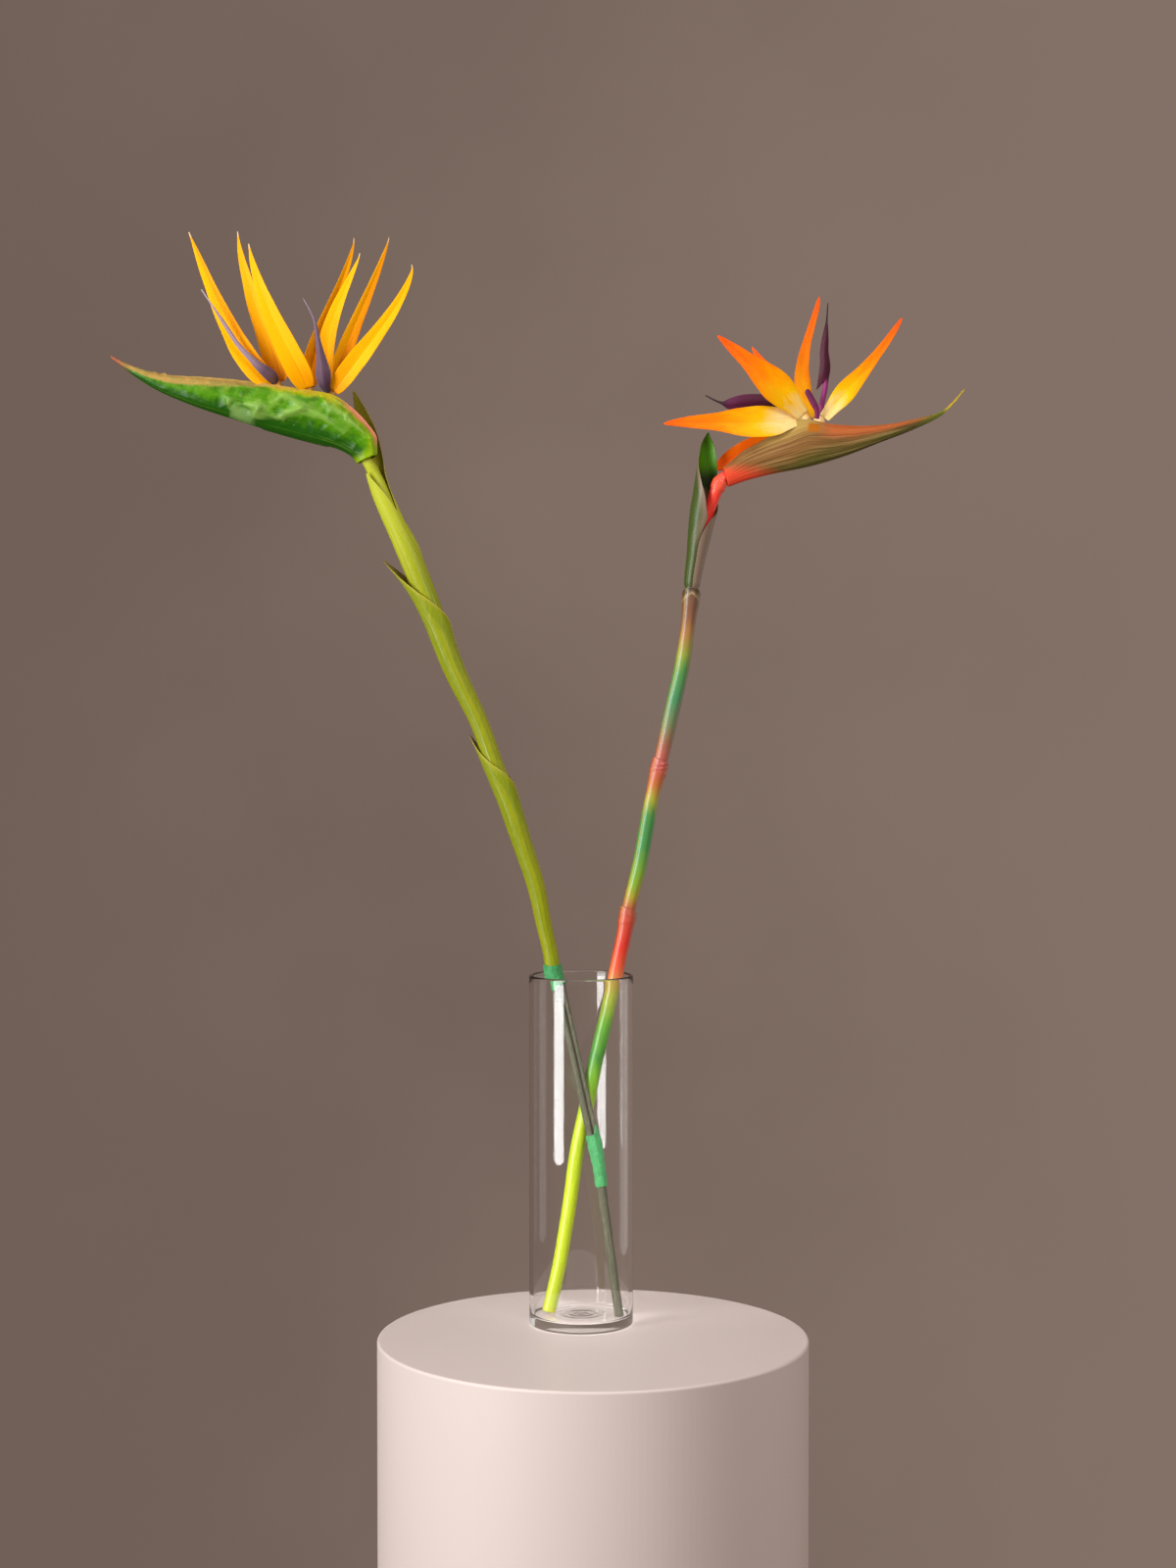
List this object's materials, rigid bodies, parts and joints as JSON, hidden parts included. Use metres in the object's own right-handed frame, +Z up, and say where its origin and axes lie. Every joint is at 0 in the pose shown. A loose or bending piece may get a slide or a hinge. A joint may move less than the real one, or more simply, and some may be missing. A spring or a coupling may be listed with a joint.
{
  "type": "bird of paradise flower",
  "caption": "Cut bird of paradise flowers with fanned sepals, arrow petals and boat-shaped spathes on long sheathed stalks, leaning apart in a clear glass cylinder vase.",
  "frame": {"origin": "centre of the vase's flat underside, on the surface that it stands on", "axes": "+Z up; +X along the spread of the flowers, from the yellow one towards the orange one; the flowers lie a little to +Y of the vase's middle and -Y is the side that they are seen from"},
  "size_m": [0.657, 0.1003, 0.841],
  "materials": {
    "vase_glass": "polished",
    "yellow_stalk": "satin",
    "yellow_sheath": "satin",
    "yellow_spathe": "satin",
    "yellow_floret": "satin",
    "yellow_sepal": "satin",
    "yellow_petal": "satin",
    "orange_stalk": "satin",
    "orange_sheath": "satin",
    "orange_spathe": "satin",
    "orange_floret": "satin",
    "orange_sepal": "satin",
    "orange_petal": "matte",
    "cane": "matte",
    "floral_tape": "matte"
  },
  "bodies": {
    "root": {"glass_vase": "vase_glass", "orange_arrow_petal_1": "orange_petal", "orange_arrow_petal_2": "orange_petal", "orange_floret_1": "orange_floret", "orange_floret_2": "orange_floret", "orange_flower_stalk": "orange_stalk", "orange_sepal_1": "orange_sepal", "orange_sepal_2": "orange_sepal", "orange_sepal_3": "orange_sepal", "orange_sepal_4": "orange_sepal", "orange_sepal_5": "orange_sepal", "orange_sepal_6": "orange_sepal", "orange_short_petal": "orange_petal", "orange_spathe": "orange_spathe", "orange_stalk_sheath_1": "orange_sheath", "orange_stalk_sheath_2": "orange_sheath", "orange_stalk_sheath_3": "orange_sheath", "orange_stalk_sheath_4": "orange_sheath", "splice_tape": "floral_tape", "splint_stake": "cane", "splint_thick_rod": "cane", "splint_thin_rod": "cane", "stalk_tape": "floral_tape", "yellow_arrow_petal_1": "yellow_petal", "yellow_arrow_petal_2": "yellow_petal", "yellow_floret_1": "yellow_floret", "yellow_floret_2": "yellow_floret", "yellow_floret_3": "yellow_floret", "yellow_flower_stalk": "yellow_stalk", "yellow_sepal_1": "yellow_sepal", "yellow_sepal_2": "yellow_sepal", "yellow_sepal_3": "yellow_sepal", "yellow_sepal_4": "yellow_sepal", "yellow_sepal_5": "yellow_sepal", "yellow_sepal_6": "yellow_sepal", "yellow_sepal_7": "yellow_sepal", "yellow_spathe": "yellow_spathe", "yellow_stalk_sheath_1": "yellow_sheath", "yellow_stalk_sheath_2": "yellow_sheath", "yellow_stalk_sheath_3": "yellow_sheath", "yellow_stalk_sheath_4": "yellow_sheath"}
  },
  "joints": []
}
